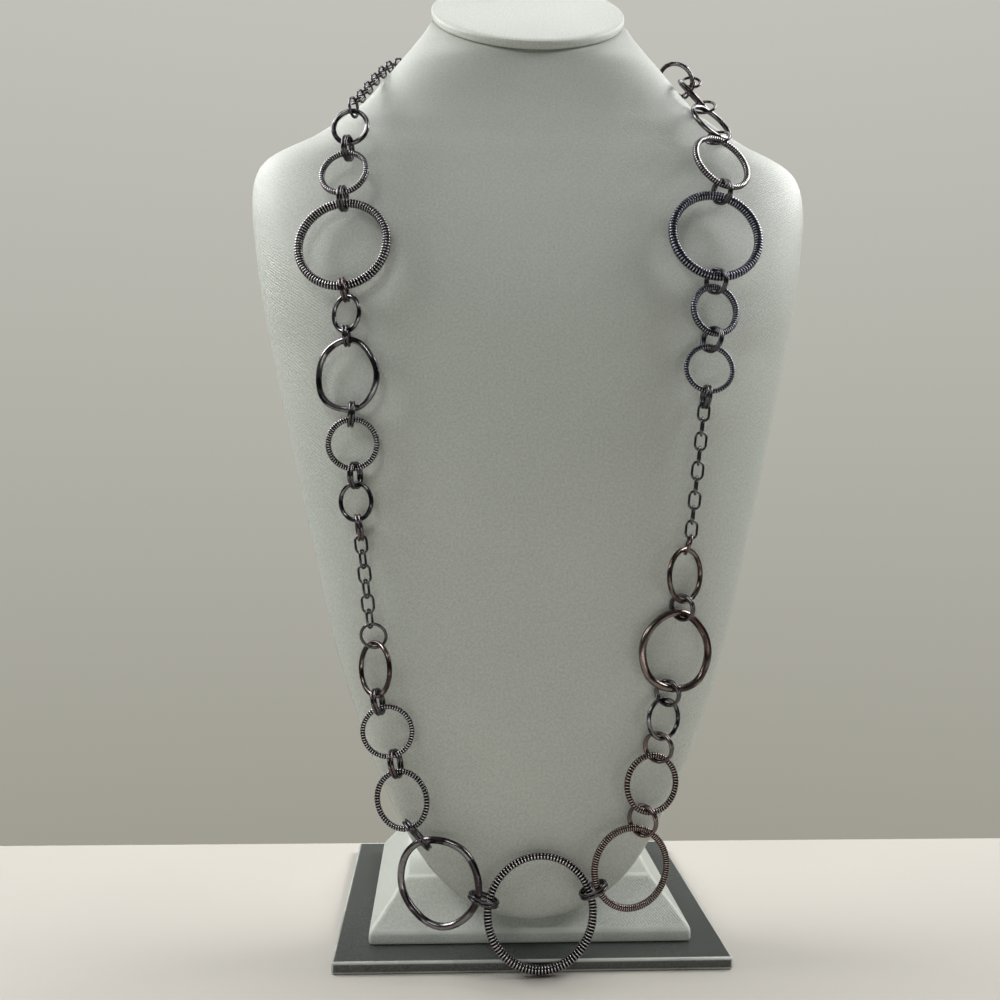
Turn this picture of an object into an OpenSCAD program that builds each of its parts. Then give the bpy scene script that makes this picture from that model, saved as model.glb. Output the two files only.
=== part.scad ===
// Long statement necklace of open rings on a leatherette neck bust.
// Millimetres, +Z up, the front faces -Y. The origin is the middle of the base plate's underside.

/* [Stand] */
// Width of the base plate
plate_w = 176; // [170:1:200]
// Depth of the base plate
plate_d = 160; // [156:1:180]
// Thickness of the base plate
plate_t = 5.5; // [4:0.5:6]
// Width of the block at its foot
block_w = 146; // [130:1:150]
// Depth of the block at its foot
block_d = 126; // [110:1:126]
// Height of the block's upright band
block_band = 6; // [4:0.5:7]
// How far the block's slopes run in
block_inset = 16; // [16:0.5:24]
// Height of the block's flat top
block_top = 31.5; // [26:0.5:31.5]
// Thickness of the padded cap on the neck
cap_t = 4.4; // [3:0.1:5]
// Forward tilt of the cap, in degrees
cap_tilt = 38; // [34:1:40]

/* [Jump rings] */
// Wire of the plain jump rings
jump_wire = 1.35; // [1.2:0.05:1.4]
// Clear space where a jump ring bears on a ring
jump_gap = 0.2; // [0.18:0.01:0.25]

/* [Chain] */
// Wire of the oval links
link_wire = 1.1; // [1:0.05:1.2]
// Outside length of an oval link
link_length = 9; // [8.8:0.1:9.2]
// Outside width of an oval link
link_width = 6; // [5.8:0.1:6.2]

/* [Clasp] */
// Outside diameter of the clasp's ring
clasp_d = 9; // [8.8:0.1:9.4]
// Wire of the clasp's ring
clasp_wire = 1.6; // [1.4:0.1:1.6]

/* [Hidden] */

gunmetal = [0.24, 0.23, 0.26];
blued = [0.23, 0.23, 0.33];
coppered = [0.38, 0.27, 0.25];
leatherette = [0.66, 0.68, 0.65];
dark_leatherette = [0.33, 0.35, 0.34];

// Room left between pieces that rest on each other
seat_gap = 0.3;
// Extra room for a pair of jump rings in the round end of a link
pair_room = 0.45;
// Sides of a swept wire, and steps round a swept ring
wire_sides = 8;
ring_steps = 40;
link_sides = 6;
link_arc_steps = 5;
// Points round one level of the bust
bust_sides = 44;

// The bust level by level, from the tip that hangs before the block up to the neck.
// Columns: height, half of the width, front, widest line and back along Y.
bust_levels = [
    [17.5, 2, -66, -64, -61],
    [18.5, 8.5, -67, -64, -60],
    [20, 16, -68, -64, -59],
    [25, 28, -69.5, -63.5, -55],
    [block_top + seat_gap, 37.5, -71, -63, -49],
    [block_top + seat_gap + 0.1, 37.5, -71, -63, -14],
    [38, 44, -72, -62.5, -13.5],
    [46, 50, -73, -61.5, -12.5],
    [60, 58.5, -75, -60, -11],
    [78, 67.5, -77, -57.5, -9],
    [100, 76.5, -79, -54.5, -6.5],
    [140, 90, -81.5, -49.5, -2],
    [180, 100, -83, -44.5, 2.5],
    [220, 109.5, -83, -39.5, 7],
    [265, 120, -79.5, -33.5, 12],
    [300, 127.5, -73, -29, 16.5],
    [325, 131.5, -65, -26, 19.5],
    [345, 133.5, -57.5, -23.5, 22],
    [358, 133, -52, -20.5, 24],
    [366, 130, -49, -18, 25.5],
    [372, 122, -46.5, -16, 27],
    [378, 110, -44, -14, 28.5],
    [384, 101, -42, -12.5, 30],
    [392, 90.5, -39, -10.5, 33],
    [402, 80, -36.5, -8.5, 36.5],
    [413, 71.5, -34, -7, 40.5],
    [421, 65.5, -31.5, -6, 43.5],
    [427, 61, -26, -5, 45.5],
    [433, 57, -20.5, -4, 47],
    [442, 51, -9, -2, 48],
    [449, 48, -6, 0, 48],
    [456, 47.5, -5, 1, 48],
    [500, 47.5, -5, 1, 48]
];
// How square the front and the back of a level are, by height: 2 is an ellipse
front_square = [[275, 2.2], [386, 4.4], [430, 2.4]];
back_square = [[366, 3], [430, 2]];
// The clasp's middle, and the outside and the wire of its eye
clasp_middle = [0, 52, 439];
eye_d = 6;
eye_wire = 1.2;
eye_steps = 24;
// Middle of the cap's top face, and half of its width and slanted depth
cap_middle = [0, 6, 456.5];
cap_half_w = 49.6;
cap_half_d = 54.6;

// The main rings. Columns: X, Y, Z of the middle, outside diameter, wire, turn and lean.
// Turn swings the face to the right, lean tips the top back, both in degrees.
left_rings = [
    [-84.5, -54.5, 374, 18, 2.3, -12, 10],
    [-86.5, -62.5, 351, 23.5, 2.6, -16, 20],
    [-86.5, -67.5, 318, 44, 3.9, -11, 15],
    [-84, -73, 286.5, 17.4, 2, -40, 2],
    [-83.5, -73.5, 259.5, 32.5, 2.8, -25, 2],
    [-80.5, -78, 229.5, 23.8, 2.6, -6, 0],
    [-79, -76, 204.5, 18, 2, -30, 0],
    [-70, -78, 132, 25, 2.2, -54, 2],
    [-64.5, -78.5, 105, 23.8, 2.3, -6, 2],
    [-58, -79.5, 75.5, 27, 2.5, -27, 3],
    [-41.5, -80.5, 40, 39.5, 3.3, -20, 3]
];
centre_rings = [
    [2.5, -81.5, 26.6, 50.8, 3.7, 3, 6]
];
right_rings = [
    [75.5, 0, 420, 19.5, 2.2, 142, 42],
    [80.5, -20, 404.5, 22.5, 2.2, 62, 41],
    [84.5, -39, 385.5, 24, 2.35, 37, 36],
    [85, -57.5, 361, 30.7, 2.75, 24, 26],
    [80, -68, 325, 44, 4, 6, 15],
    [78.5, -74, 290.5, 24, 2.9, 16, 7],
    [75, -79, 264, 22.8, 2.25, 2, 12],
    [64.5, -81.5, 173.5, 25, 2.25, 42, 0],
    [61, -80, 140, 36, 3.4, 16, 2],
    [56, -79.5, 110.5, 19.4, 2, 32, 2],
    [51, -79.5, 82, 27.3, 2.6, 21, 3],
    [42, -80.5, 45.5, 37.5, 3, 16, 3]
];

// How a hand-shaped ring leaves the circle. Columns: lobes round the ring, depth, angle.
left_5_shape = [[2, 0.03, 100], [3, 0.02, 215], [5, 0.012, 220]];
left_11_shape = [[2, 0.03, 125], [3, 0.015, 30], [5, 0.01, 200]];
right_9_shape = [[2, 0.02, 90], [3, 0.02, 320], [5, 0.012, 300]];
centre_shape = [[2, 0.019, 90]];

function unit(v) = v / norm(v);
function flat_to(v, n) = v - n * (v * n);

function signed_power(v, p) = sign(v) * pow(abs(v), p);

// One level of the bust as a closed outline
function level_outline(row) = [
    for (i = [0:bust_sides - 1])
        let (
            a = 360 * i / bust_sides,
            in_front = sin(a) < 0,
            squareness = lookup(row[0], in_front ? front_square : back_square),
            reach = in_front ? row[3] - row[2] : row[4] - row[3],
            rise = in_front ? sin(a) : signed_power(sin(a), 2 / squareness)
        )
        [row[1] * signed_power(cos(a), 2 / squareness), row[3] + reach * rise, row[0]]
];

// A closed skin over a list of outlines that all have the same number of points
module skin(outlines) {
    n = len(outlines[0]);
    m = len(outlines);
    points = [for (o = outlines) each o];
    sides = [
        for (k = [0:m - 2], i = [0:n - 1])
            let (j = (i + 1) % n)
            each [[k * n + i, (k + 1) * n + i, (k + 1) * n + j], [k * n + i, (k + 1) * n + j, k * n + j]]
    ];
    foot = [for (i = [0:n - 1]) i];
    head = [for (i = [n - 1:-1:0]) (m - 1) * n + i];
    polyhedron(points, concat(sides, [foot], [head]));
}

// A closed wire swept along a loop of [point, outward, across, radius] stations
module wire_loop(stations, sides) {
    n = len(stations);
    points = [
        for (s = stations, i = [0:sides - 1])
            let (a = 360 * i / sides)
            s[0] + s[3] * (cos(a) * s[1] + sin(a) * s[2])
    ];
    faces = [
        for (k = [0:n - 1], i = [0:sides - 1])
            let (j = (i + 1) % sides, next = (k + 1) % n)
            each [
                [k * sides + i, k * sides + j, next * sides + j],
                [k * sides + i, next * sides + j, next * sides + i]
            ]
    ];
    polyhedron(points, faces);
}

// The frame of a main ring: its face, its side and its upright
function ring_face(r) = [sin(r[5]) * cos(r[6]), -cos(r[5]) * cos(r[6]), sin(r[6])];
function ring_side(r) = unit(cross([0, 0, 1], ring_face(r)));
function ring_up(r) = cross(ring_face(r), ring_side(r));
function ring_middle(r) = [r[0], r[1], r[2]];
function ring_radius(r) = (r[3] - r[4]) / 2;
function swell(shape, a) = 1 + sum([for (s = shape) s[1] * cos(s[0] * (a - s[2]))]);
function sum(list, i = 0) = i < len(list) ? list[i] + sum(list, i + 1) : 0;
function ring_point(r, shape, a) =
    ring_middle(r) + ring_radius(r) * swell(shape, a) * (cos(a) * ring_side(r) + sin(a) * ring_up(r));

// Where a ring's wire comes nearest to a target: [point, tangent, wire radius]
function rim(r, shape, target) =
    let (
        d = target - ring_middle(r),
        a = atan2(d * ring_up(r), d * ring_side(r))
    )
    [ring_point(r, shape, a), -sin(a) * ring_side(r) + cos(a) * ring_up(r), r[4] / 2];

module place(middle, side, up) {
    face = cross(side, up);
    multmatrix([
        [side.x, up.x, face.x, middle.x],
        [side.y, up.y, face.y, middle.y],
        [side.z, up.z, face.z, middle.z],
        [0, 0, 0, 1]
    ])
        children();
}

module round_wire(outer, wire) {
    rotate_extrude($fn = 96)
        translate([(outer - wire) / 2, 0])
            circle(d = wire, $fn = 24);
}

module round_ring(r) {
    place(ring_middle(r), ring_side(r), ring_up(r))
        round_wire(r[3], r[4]);
}

// A hammered or oval ring, thicker at its foot by the given share
module shaped_ring(r, shape, heavier = 0) {
    stations = [
        for (i = [0:ring_steps - 1])
            let (a = 360 * i / ring_steps, outward = cos(a) * ring_side(r) + sin(a) * ring_up(r))
            [ring_point(r, shape, a), outward, ring_face(r), r[4] / 2 * (1 - heavier * sin(a))]
    ];
    wire_loop(stations, wire_sides);
}

// The jump ring that hangs rim b from rim a: [middle, face, outside diameter]
function jump(a, b, wire, twist, room) =
    let (
        u = unit(a[0] - b[0]),
        top = a[0] + u * (a[2] + wire / 2 + jump_gap + room),
        bottom = b[0] - u * (b[2] + wire / 2 + jump_gap + room),
        same = a[1] * b[1] < 0 ? -1 : 1,
        across = unit(flat_to(a[1] + same * b[1], u)),
        face = across * cos(twist) + cross(u, across) * sin(twist)
    )
    [(top + bottom) / 2, face, norm(top - bottom) + wire];

module jump_ring(j, wire, count) {
    side = unit(cross(j[1], abs(j[1].z) < 0.9 ? [0, 0, 1] : [0, 1, 0]));
    up = cross(j[1], side);
    step = wire + 0.12;
    for (i = [0:count - 1])
        place(j[0] + j[1] * step * (i - (count - 1) / 2), side, up)
            round_wire(j[2], wire);
}

// The two rims that face each other on neighbouring main rings
function facing_rims(a, a_shape, b, b_shape) =
    let (
        near_b = rim(b, b_shape, ring_middle(a)),
        from_a = rim(a, a_shape, near_b[0])
    )
    [from_a, rim(b, b_shape, from_a[0])];

// A jump ring or a pair of them between two main rings
module jump_between(a, a_shape, b, b_shape, count, twist, room) {
    rims = facing_rims(a, a_shape, b, b_shape);
    jump_ring(jump(rims[0], rims[1], jump_wire, twist, room), jump_wire, count);
}

// Two jump rings linked one below the other between two main rings
module jumps_in_line(a, b, twist) {
    rims = facing_rims(a, [], b, []);
    halfway = (rims[0][0] + rims[1][0]) / 2;
    jump_ring(jump(rims[0], [halfway, rims[0][1], 0], jump_wire, twist, 0), jump_wire, 1);
    jump_ring(jump([halfway, rims[1][1], 0], rims[1], jump_wire, -twist, 0), jump_wire, 1);
}

// A jump ring or a pair of them between a main ring and the end of a chain
module jump_to_chain(r, route, turn, count, at_end, twist, room) {
    links = chain_links(route, turn);
    link = links[at_end ? len(links) - 1 : 0];
    along = link[1] * (at_end ? 1 : -1);
    tip = link[0] + along * (link_length - link_wire) / 2;
    bar = link_wire / 2 + (count - 1) * pair_room;
    jump_ring(jump(rim(r, [], tip), [tip, link[2], bar], jump_wire, twist, room), jump_wire, count);
}

// The chains run along routes, with a link every pitch. The links are turned by turns.
pitch = link_length - 2 * link_wire - 0.25;
front_left_route = [[-76.5, -77, 186], [-72.5, -79, 154]];
front_right_route = [[72.5, -79.5, 245], [67, -82, 193.5]];
neck_left_route = [
    [-82, -48, 388.5], [-78.5, -35, 398.5], [-75, -22, 409], [-71.5, -9.5, 418], [-68, 2, 425], [-63, 13, 430],
    [-55, 26, 434], [-43, 38, 437], [-27, 48, 438.5], [-14, 52, 439], [-4.9, 52, 439]
];
neck_right_route = [
    [72.5, 16.3, 416], [66, 25, 420], [54, 35.5, 426], [41, 43, 431], [27, 49, 436], [18, 52, 439], [10.2, 52, 439]
];

function lengths(points, i = 0, so_far = 0) =
    i >= len(points) - 1
        ? [so_far]
        : concat([so_far], lengths(points, i + 1, so_far + norm(points[i + 1] - points[i])));
function along_route(points, s) =
    let (at = lengths(points))
    [for (axis = [0:2]) lookup(s, [for (i = [0:len(points) - 1]) [at[i], points[i][axis]]])];

// Every link of a chain: [middle, direction, side]
function chain_links(route, turn) =
    let (
        whole = lengths(route)[len(route) - 1],
        count = ceil(whole / pitch) + 1,
        step = whole / (count - 1)
    )
    [
        for (i = [0:count - 1])
            let (
                here = along_route(route, i * step),
                ahead = along_route(route, min(whole, i * step + step / 2)),
                behind = along_route(route, max(0, i * step - step / 2)),
                d = unit(ahead - behind),
                level = unit(cross(d, [0, -1, 0])),
                out = cross(level, d),
                a = i % 2 == 0 ? turn[0] : turn[1]
            )
            [here, d, level * cos(a) + out * sin(a)]
    ];

// One oval link: two half turns of wire joined by straight sides
module oval_link(link) {
    middle = link[0];
    d = link[1];
    side = link[2];
    face = cross(d, side);
    r = (link_width - link_wire) / 2;
    straight = (link_length - link_width) / 2;
    stations = [
        for (end = [1, -1], i = [0:link_arc_steps])
            let (a = 180 * i / link_arc_steps, out = end * (cos(a) * side + sin(a) * d))
            [middle + end * straight * d + r * out, out, face, link_wire / 2]
    ];
    wire_loop(stations, link_sides);
}

module chain(route, turn) {
    for (link = chain_links(route, turn)) oval_link(link);
}

module base_plate() {
    color(dark_leatherette)
        translate([-plate_w / 2, -plate_d / 2, 0])
            cube([plate_w, plate_d, plate_t]);
}

module base_block() {
    foot = plate_t;
    band = foot + block_band;
    color(leatherette)
        skin([
            for (level = [[foot, 0], [band, 0], [block_top, block_inset]])
                let (x = block_w / 2 - level[1], y = block_d / 2 - level[1])
                [[x, -y, level[0]], [x, y, level[0]], [-x, y, level[0]], [-x, -y, level[0]]]
        ]);
}

module bust() {
    color(leatherette)
        difference() {
            skin([for (row = bust_levels) level_outline(row)]);
            translate(cap_middle)
                rotate([cap_tilt, 0, 0])
                    translate([-100, -150, -cap_t - seat_gap])
                        cube([200, 300, 120]);
        }
}

module neck_cap() {
    rim_steps = [[-cap_t, 1], [-cap_t * 0.7, 0.2], [-cap_t * 0.3, 0.2], [0, 1.2]];
    color(leatherette)
        translate(cap_middle)
            rotate([cap_tilt, 0, 0])
                skin([
                    for (s = rim_steps) [
                        for (i = [0:bust_sides - 1])
                            let (a = 360 * i / bust_sides)
                            [(cap_half_w - s[1]) * cos(a), (cap_half_d - s[1]) * sin(a), s[0]]
                    ]
                ]);
}

module left_ring_1() color(gunmetal) round_ring(left_rings[0]);
module left_ring_2() color(gunmetal) round_ring(left_rings[1]);
module left_ring_3() color(gunmetal) round_ring(left_rings[2]);
module left_ring_4() color(gunmetal) round_ring(left_rings[3]);
module left_ring_5() color(gunmetal) shaped_ring(left_rings[4], left_5_shape);
module left_ring_6() color(gunmetal) round_ring(left_rings[5]);
module left_ring_7() color(gunmetal) round_ring(left_rings[6]);
module left_ring_8() color(coppered) round_ring(left_rings[7]);
module left_ring_9() color(gunmetal) round_ring(left_rings[8]);
module left_ring_10() color(gunmetal) round_ring(left_rings[9]);
module left_ring_11() color(gunmetal) shaped_ring(left_rings[10], left_11_shape);
module centre_ring() color(gunmetal) shaped_ring(centre_rings[0], centre_shape, 0.14);
module right_ring_1() color(gunmetal) round_ring(right_rings[0]);
module right_ring_2() color(gunmetal) round_ring(right_rings[1]);
module right_ring_3() color(gunmetal) round_ring(right_rings[2]);
module right_ring_4() color(gunmetal) round_ring(right_rings[3]);
module right_ring_5() color(blued) round_ring(right_rings[4]);
module right_ring_6() color(blued) round_ring(right_rings[5]);
module right_ring_7() color(blued) round_ring(right_rings[6]);
module right_ring_8() color(coppered) round_ring(right_rings[7]);
module right_ring_9() color(coppered) shaped_ring(right_rings[8], right_9_shape);
module right_ring_10() color(gunmetal) round_ring(right_rings[9]);
module right_ring_11() color(coppered) round_ring(right_rings[10]);
module right_ring_12() color(coppered) round_ring(right_rings[11]);

front_turn = [5, 68];
neck_turn = [40, -45];
module front_chain_left() color(gunmetal) chain(front_left_route, front_turn);
module front_chain_right() color(gunmetal) chain(front_right_route, front_turn);
module neck_chain_left() color(gunmetal) chain(neck_left_route, neck_turn);
module neck_chain_right() color(gunmetal) chain(neck_right_route, neck_turn);

// A closed round of wire about the origin, in the XY plane
module plain_loop(outer, wire, steps) {
    wire_loop(
        [
            for (i = [0:steps - 1])
                let (a = 360 * i / steps, out = [cos(a), sin(a), 0])
                [out * (outer - wire) / 2, out, [0, 0, 1], wire / 2]
        ],
        wire_sides
    );
}

// The clasp: a plain spring ring with a small eye soldered to its right
module clasp() {
    color(gunmetal)
        translate(clasp_middle)
            rotate([90, 0, 0])
                union() {
                    plain_loop(clasp_d, clasp_wire, ring_steps);
                    translate([clasp_d / 2 + eye_d / 2 - eye_wire, 0, 0])
                        plain_loop(eye_d, eye_wire, eye_steps);
                }
}

// Shapes of the left rings, in the order of their table
left_shapes = [[], [], [], [], left_5_shape, [], [], [], [], [], left_11_shape];
right_shapes = [[], [], [], [], [], [], [], [], right_9_shape, [], [], []];
// Jump rings between neighbours. Columns: upper ring, how many, twist, extra room.
left_jumps = [
    [1, 2, 0, 0], [2, 2, 0, 0], [3, 2, 20, 0.2], [4, 2, 30, 0.3], [5, 2, 25, 0.3], [6, 2, 0, 0],
    [8, 2, 15, 0.4], [9, 2, 0, 0], [10, 2, 35, 0.25]
];
right_jumps = [
    [2, 1, 40, 0.1], [3, 1, 50, 0.2], [4, 2, 25, 0.1], [5, 2, 30, 0.25], [6, 2, 25, 0.05], [8, 2, 20, 0.2],
    [9, 2, 30, 0.3], [10, 2, 30, 0.1], [11, 2, 35, 0.05]
];

module jump_rings_left() {
    color(gunmetal) {
        for (j = left_jumps)
            jump_between(
                left_rings[j[0] - 1], left_shapes[j[0] - 1], left_rings[j[0]], left_shapes[j[0]],
                j[1], j[2], j[3]
            );
        jump_between(left_rings[10], left_11_shape, centre_rings[0], centre_shape, 2, 0, 0.05);
        jump_to_chain(left_rings[0], neck_left_route, neck_turn, 1, false, 0, 0);
        jump_to_chain(left_rings[6], front_left_route, front_turn, 2, false, 20, 0.2);
        jump_to_chain(left_rings[7], front_left_route, front_turn, 1, true, 20, 0.2);
    }
}

module jump_rings_right() {
    color(coppered) {
        for (j = right_jumps)
            jump_between(
                right_rings[j[0] - 1], right_shapes[j[0] - 1], right_rings[j[0]], right_shapes[j[0]],
                j[1], j[2], j[3]
            );
        jumps_in_line(right_rings[0], right_rings[1], 15);
        jump_between(right_rings[11], [], centre_rings[0], centre_shape, 2, 0, 0.05);
        jump_to_chain(right_rings[0], neck_right_route, neck_turn, 1, false, -20, 0.2);
        jump_to_chain(right_rings[6], front_right_route, front_turn, 2, false, 0, 0.1);
        jump_to_chain(right_rings[7], front_right_route, front_turn, 1, true, 30, 0);
    }
}

base_plate();
base_block();
bust();
neck_cap();
left_ring_1();
left_ring_2();
left_ring_3();
left_ring_4();
left_ring_5();
left_ring_6();
left_ring_7();
left_ring_8();
left_ring_9();
left_ring_10();
left_ring_11();
centre_ring();
right_ring_1();
right_ring_2();
right_ring_3();
right_ring_4();
right_ring_5();
right_ring_6();
right_ring_7();
right_ring_8();
right_ring_9();
right_ring_10();
right_ring_11();
right_ring_12();
front_chain_left();
front_chain_right();
neck_chain_left();
neck_chain_right();
clasp();
jump_rings_left();
jump_rings_right();
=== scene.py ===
import math
from collections import namedtuple

import bmesh
import bpy
import numpy as np
from mathutils import Matrix, Vector


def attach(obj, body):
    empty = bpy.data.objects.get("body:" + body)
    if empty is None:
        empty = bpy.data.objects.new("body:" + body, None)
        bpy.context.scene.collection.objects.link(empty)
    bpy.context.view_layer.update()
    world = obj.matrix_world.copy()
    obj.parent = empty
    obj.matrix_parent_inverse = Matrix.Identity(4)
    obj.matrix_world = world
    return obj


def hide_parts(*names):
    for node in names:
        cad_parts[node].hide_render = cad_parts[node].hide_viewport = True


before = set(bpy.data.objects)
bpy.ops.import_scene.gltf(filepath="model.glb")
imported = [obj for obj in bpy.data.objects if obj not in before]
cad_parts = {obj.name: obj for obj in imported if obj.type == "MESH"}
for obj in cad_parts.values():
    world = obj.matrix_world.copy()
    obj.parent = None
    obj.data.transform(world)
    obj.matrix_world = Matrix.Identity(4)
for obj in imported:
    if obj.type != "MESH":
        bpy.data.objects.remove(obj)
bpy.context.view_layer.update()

# The base plate: a flat board wrapped in dark leatherette, so its edges are rounded by the wrap.
# The whole stand rests on it, and the block is glued to its middle.
mm = 0.001
plate_w = 176
plate_d = 160
plate_t = 5.5
plate_edge = 1.3
# The smallest face that counts as a flat panel, in square mm, and how far its own border runs in.
least_panel = 150
panel_border = 1.5


def wrapped_box(name, levels, edge):
    """A closed box over rectangles (half width, half depth, height) in mm, every edge rounded by edge."""
    shell = bmesh.new()
    loops = []
    for half_w, half_d, z in levels:
        corners = ((half_w, -half_d), (half_w, half_d), (-half_w, half_d), (-half_w, -half_d))
        loops.append([shell.verts.new((x * mm, y * mm, z * mm)) for x, y in corners])
    for low, high in zip(loops, loops[1:]):
        for i in range(4):
            j = (i + 1) % 4
            shell.faces.new((low[i], low[j], high[j], high[i]))
    shell.faces.new(tuple(reversed(loops[0])))
    shell.faces.new(tuple(loops[-1]))
    bmesh.ops.bevel(shell, geom=shell.edges[:], offset=edge * mm, segments=4, profile=0.5, affect="EDGES")
    panels = [f for f in shell.faces if f.calc_area() > least_panel * mm * mm]
    edge_share = shell.verts.layers.float.new("edge")
    for vert in shell.verts:
        vert[edge_share] = 0.0 if any(f in panels for f in vert.link_faces) else 1.0
    bmesh.ops.inset_individual(shell, faces=panels, thickness=panel_border * mm)
    mesh = bpy.data.meshes.new(name)
    shell.to_mesh(mesh)
    shell.free()
    return mesh


def lay_cloth(mesh):
    """Writes each corner's place in the flat cloth, in mm, for a box whose faces are covered one by one."""
    lay = mesh.attributes.new("lay", "FLOAT_VECTOR", "CORNER")
    for face in mesh.polygons:
        away = [abs(v) for v in face.normal]
        across, along = ((1, 2), (0, 2), (0, 1))[away.index(max(away))]
        for corner in face.loop_indices:
            at = mesh.vertices[mesh.loops[corner].vertex_index].co
            lay.data[corner].vector = (at[across] / mm, at[along] / mm, 0)


def fit(name, mesh, material, slot, *nodes):
    """Puts a finished mesh on the body as a smooth piece that stands for the named CAD nodes."""
    piece = bpy.data.objects.new(name, mesh)
    bpy.context.scene.collection.objects.link(piece)
    mesh.materials.append(material)
    mesh.polygons.foreach_set("use_smooth", [True] * len(mesh.polygons))
    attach(piece, "root")
    if nodes:
        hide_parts(*nodes)


def add_node(tree, kind, inputs=None, **settings):
    """A new shader node: inputs are values or sockets by the input's name or number."""
    made = tree.nodes.new(kind)
    for key, value in settings.items():
        setattr(made, key, value)
    for key, value in (inputs or {}).items():
        if isinstance(value, bpy.types.NodeSocket):
            tree.links.new(value, made.inputs[key])
        else:
            made.inputs[key].default_value = value
    return made


def maths(tree, operation, a, b=0.0):
    return add_node(tree, "ShaderNodeMath", {0: a, 1: b}, operation=operation).outputs[0]


def blend_colour(tree, share, first, second):
    return add_node(
        tree, "ShaderNodeMix", {"Factor": share, 6: first, 7: second}, data_type="RGBA"
    ).outputs[2]


def noise(tree, where, scale, detail=3.0, rough=0.55):
    return add_node(
        tree,
        "ShaderNodeTexNoise",
        {"Vector": where, "Scale": scale, "Detail": detail, "Roughness": rough},
    ).outputs["Fac"]


def new_group(name, inputs, outputs):
    """An empty shader group. inputs and outputs are (name, kind, default) rows."""
    group = bpy.data.node_groups.new(name, "ShaderNodeTree")
    for rows, side in ((inputs, "INPUT"), (outputs, "OUTPUT")):
        for row_name, kind, default in rows:
            socket = group.interface.new_socket(row_name, in_out=side, socket_type="NodeSocket" + kind)
            if default is not None:
                socket.default_value = default
    return group, group.nodes.new("NodeGroupInput").outputs, group.nodes.new("NodeGroupOutput").inputs


# The weave: its pitch in mm, how far its threads stray, and how much its dots stand up and show.
thread_pitch = 1.35
thread_stray = 0.7
stray_scale = 0.35
dot_relief = 0.6
dot_colour = 0.2
# The slubs are the threads' uneven places, which show as a grain.
slub_scale = 0.9
slub_relief = 3.0
slub_colour = 5.0
# The tone drifts over the whole piece, and lets the painted highlight and the wear along the edges come and
# go.
tone_scale = 14.0
edge_sheen_drift = 1.6


def weave_group():
    """The linen weave embossed in leatherette: its height, drifting tone, specks, and the painted highlight
    over wear on its edges.
    """
    group, given, out = new_group(
        "embossed_weave",
        [
            ("Pitch", "Float", thread_pitch),
            ("Stray", "Float", thread_stray),
            ("Tone scale", "Float", tone_scale),
        ],
        [
            ("Height", "Float", None),
            ("Tone", "Float", None),
            ("Speck", "Float", None),
            ("Edge sheen", "Float", None),
        ],
    )
    place = add_node(group, "ShaderNodeTexCoord").outputs["Object"]
    lay = add_node(group, "ShaderNodeAttribute", attribute_name="lay").outputs["Vector"]
    wander = add_node(
        group, "ShaderNodeTexNoise", {"Vector": lay, "Scale": stray_scale, "Detail": 2.0}
    ).outputs["Color"]
    pull = add_node(group, "ShaderNodeVectorMath", {0: wander, "Scale": given["Stray"]}, operation="SCALE")
    moved = add_node(group, "ShaderNodeVectorMath", {0: lay, 1: pull.outputs[0]}, operation="ADD")
    parts = add_node(group, "ShaderNodeSeparateXYZ", {0: moved.outputs[0]}).outputs
    turn = maths(group, "DIVIDE", 2 * math.pi, given["Pitch"])
    warp = maths(group, "SINE", maths(group, "MULTIPLY", parts[0], turn))
    weft = maths(group, "SINE", maths(group, "MULTIPLY", parts[1], turn))
    dots = maths(group, "MULTIPLY", warp, weft)
    slub = noise(group, lay, slub_scale, detail=5.0, rough=0.8)
    raised_dots = maths(group, "MULTIPLY", dots, dot_relief)
    raised_slubs = maths(group, "MULTIPLY", slub, slub_relief)
    group.links.new(maths(group, "ADD", raised_dots, raised_slubs), out["Height"])
    tone = noise(group, place, given["Tone scale"], detail=4.0)
    group.links.new(tone, out["Tone"])
    dark_dots = maths(group, "MULTIPLY", dots, dot_colour)
    dark_slubs = maths(group, "MULTIPLY", maths(group, "SUBTRACT", slub, 0.5), slub_colour)
    group.links.new(maths(group, "ADD", dark_slubs, dark_dots), out["Speck"])
    # The rounded edges get a lighter colour. It is a painted highlight, on edges where the cloth is also
    # rubbed.
    edge = add_node(group, "ShaderNodeAttribute", attribute_name="edge").outputs["Fac"]
    rub_and_sheen = maths(group, "MINIMUM", maths(group, "MULTIPLY", tone, edge_sheen_drift), 1.0)
    group.links.new(maths(group, "MULTIPLY", edge, rub_and_sheen), out["Edge sheen"])
    return group


embossed_weave = weave_group()
# How far the tone moves the colour and the gloss, and the depth of the embossing in metres.
tone_swing = 0.5
tone_base = 0.25
gloss_swing = 0.16
weave_depth = 0.00012


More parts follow.
